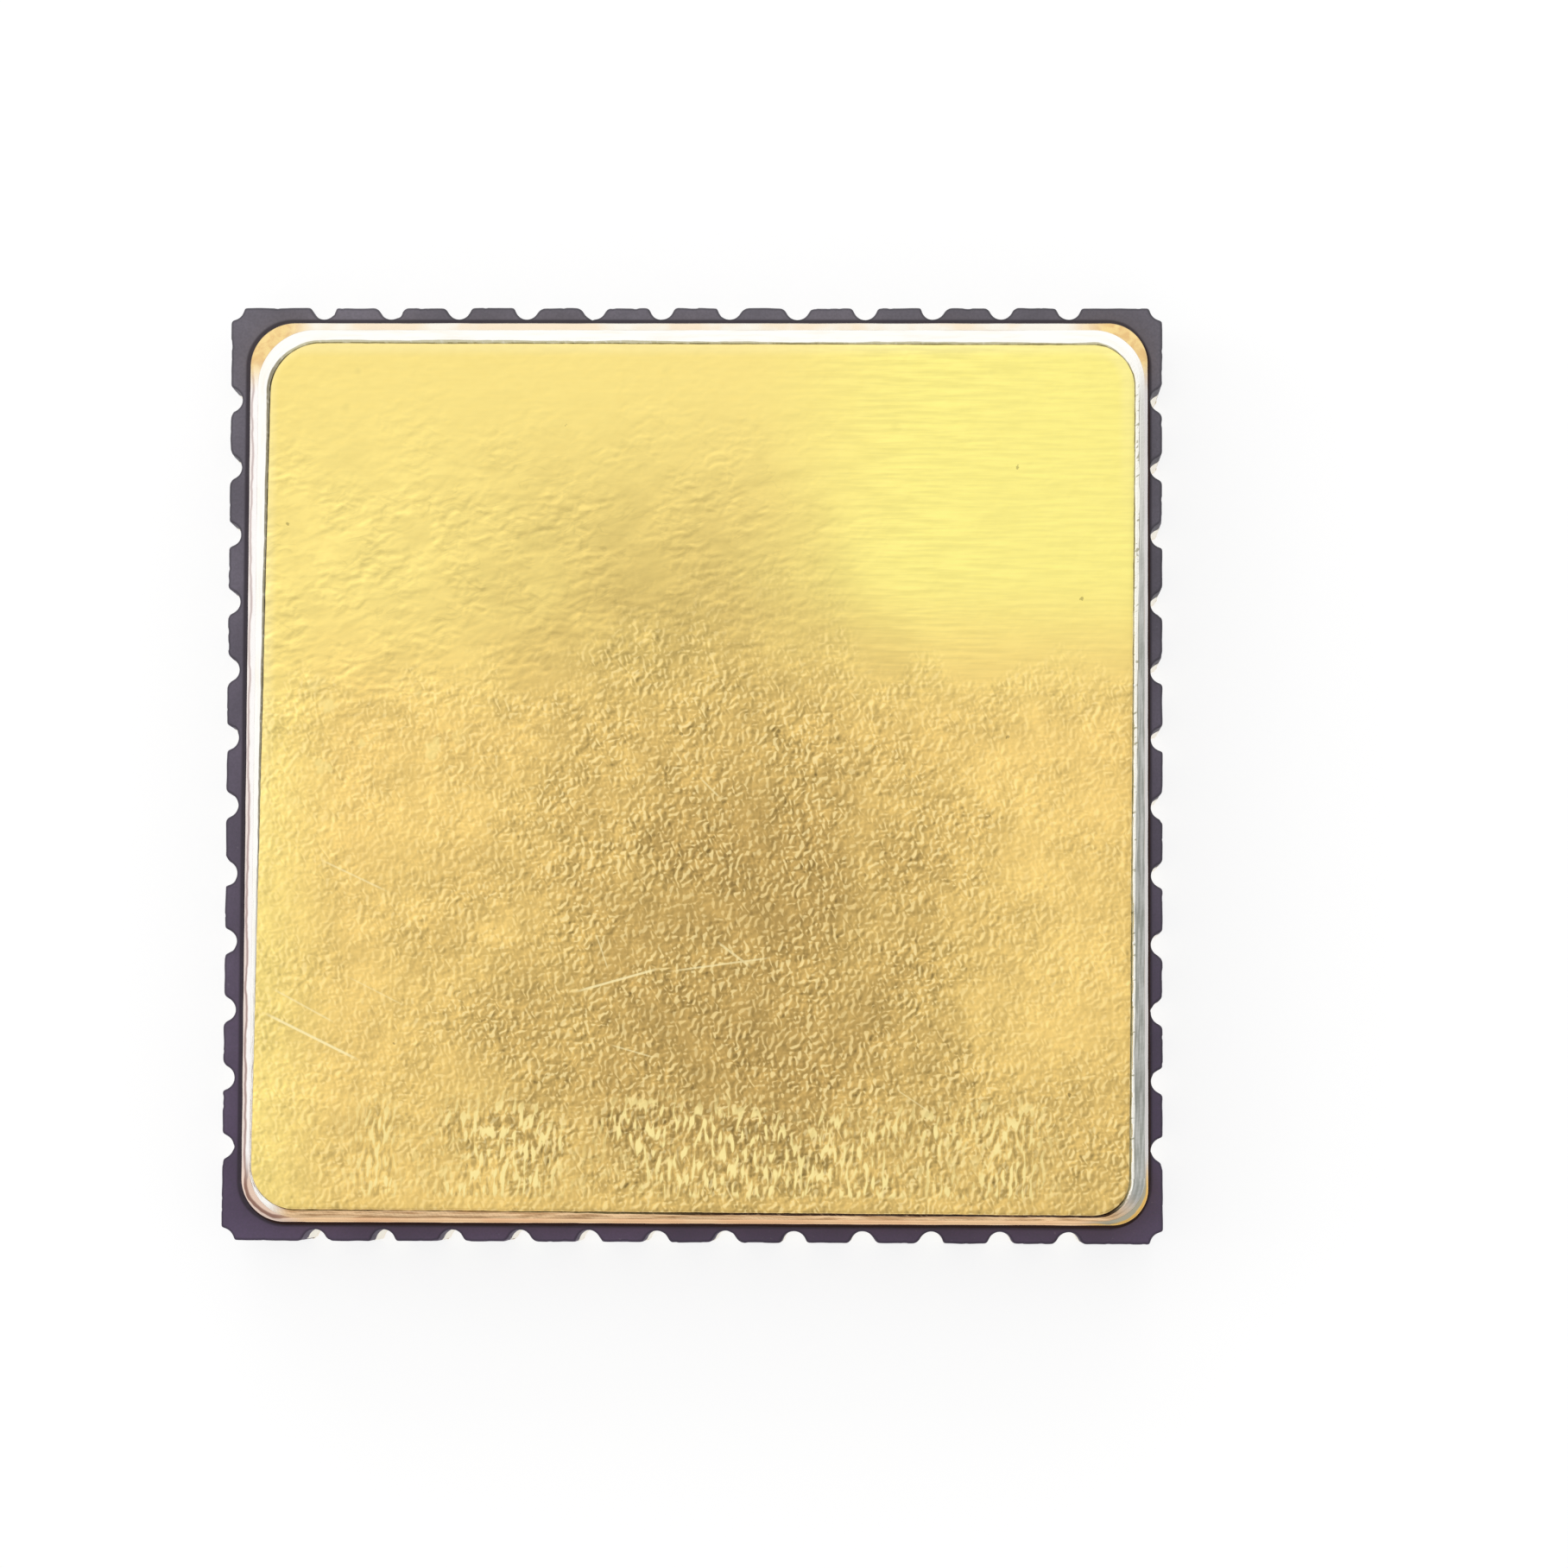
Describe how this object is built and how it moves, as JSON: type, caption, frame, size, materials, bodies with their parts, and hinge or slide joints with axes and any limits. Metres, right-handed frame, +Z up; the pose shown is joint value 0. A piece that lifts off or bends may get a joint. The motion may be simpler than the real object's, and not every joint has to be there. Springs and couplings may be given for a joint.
{
  "type": "gyroscope chip",
  "caption": "Square leadless ceramic chip that senses turning, with plated half round terminal notches on all sides and a flat gold plated lid welded to a seal ring.",
  "frame": {"origin": "centre of the underside of the solder pads, on the board's surface", "axes": "+Z up out of the lid, X and Y square to the sides; the first terminal is just right of the middle of the -Y side and the rest run anticlockwise seen from above"},
  "size_m": [0.011, 0.011, 0.002],
  "materials": {
    "ceramic": "dark violet grey co-fired alumina, matt",
    "lid_gold": "gold plated nickel iron cobalt sheet, satin and mottled, with a bright seam weld track",
    "ring_gold": "gold plated nickel iron cobalt ring, polished",
    "gold_plating": "thin gold plating, satin",
    "braze": "silver copper braze under thin gold",
    "silicon": "polished silicon",
    "wafer_base": "fine ground wafer",
    "die_attach": "silver filled adhesive",
    "wire_gold": "drawn gold wire"
  },
  "bodies": {
    "root": {"ceramic_body": "ceramic", "floor_plating": "gold_plating", "seal_ring_braze": "braze", "seal_ring": "ring_gold", "lid": "lid_gold", "sensor_die_attach": "die_attach", "readout_die_attach": "die_attach", "sensor_base": "wafer_base", "sensor_structure": "silicon", "sensor_cap": "silicon", "readout_die": "silicon", "bond_wires": "wire_gold", "terminal_01": "gold_plating", "terminal_02": "gold_plating", "terminal_03": "gold_plating", "terminal_04": "gold_plating", "terminal_05": "gold_plating", "terminal_06": "gold_plating", "terminal_07": "gold_plating", "terminal_08": "gold_plating", "terminal_09": "gold_plating", "terminal_10": "gold_plating", "terminal_11": "gold_plating", "terminal_12": "gold_plating", "terminal_13": "gold_plating", "terminal_14": "gold_plating", "terminal_15": "gold_plating", "terminal_16": "gold_plating", "terminal_17": "gold_plating", "terminal_18": "gold_plating", "terminal_19": "gold_plating", "terminal_20": "gold_plating", "terminal_21": "gold_plating", "terminal_22": "gold_plating", "terminal_23": "gold_plating", "terminal_24": "gold_plating", "terminal_25": "gold_plating", "terminal_26": "gold_plating", "terminal_27": "gold_plating", "terminal_28": "gold_plating", "terminal_29": "gold_plating", "terminal_30": "gold_plating", "terminal_31": "gold_plating", "terminal_32": "gold_plating", "terminal_33": "gold_plating", "terminal_34": "gold_plating", "terminal_35": "gold_plating", "terminal_36": "gold_plating", "terminal_37": "gold_plating", "terminal_38": "gold_plating", "terminal_39": "gold_plating", "terminal_40": "gold_plating", "terminal_41": "gold_plating", "terminal_42": "gold_plating", "terminal_43": "gold_plating", "terminal_44": "gold_plating", "terminal_45": "gold_plating", "terminal_46": "gold_plating", "terminal_47": "gold_plating", "terminal_48": "gold_plating"}
  },
  "joints": []
}
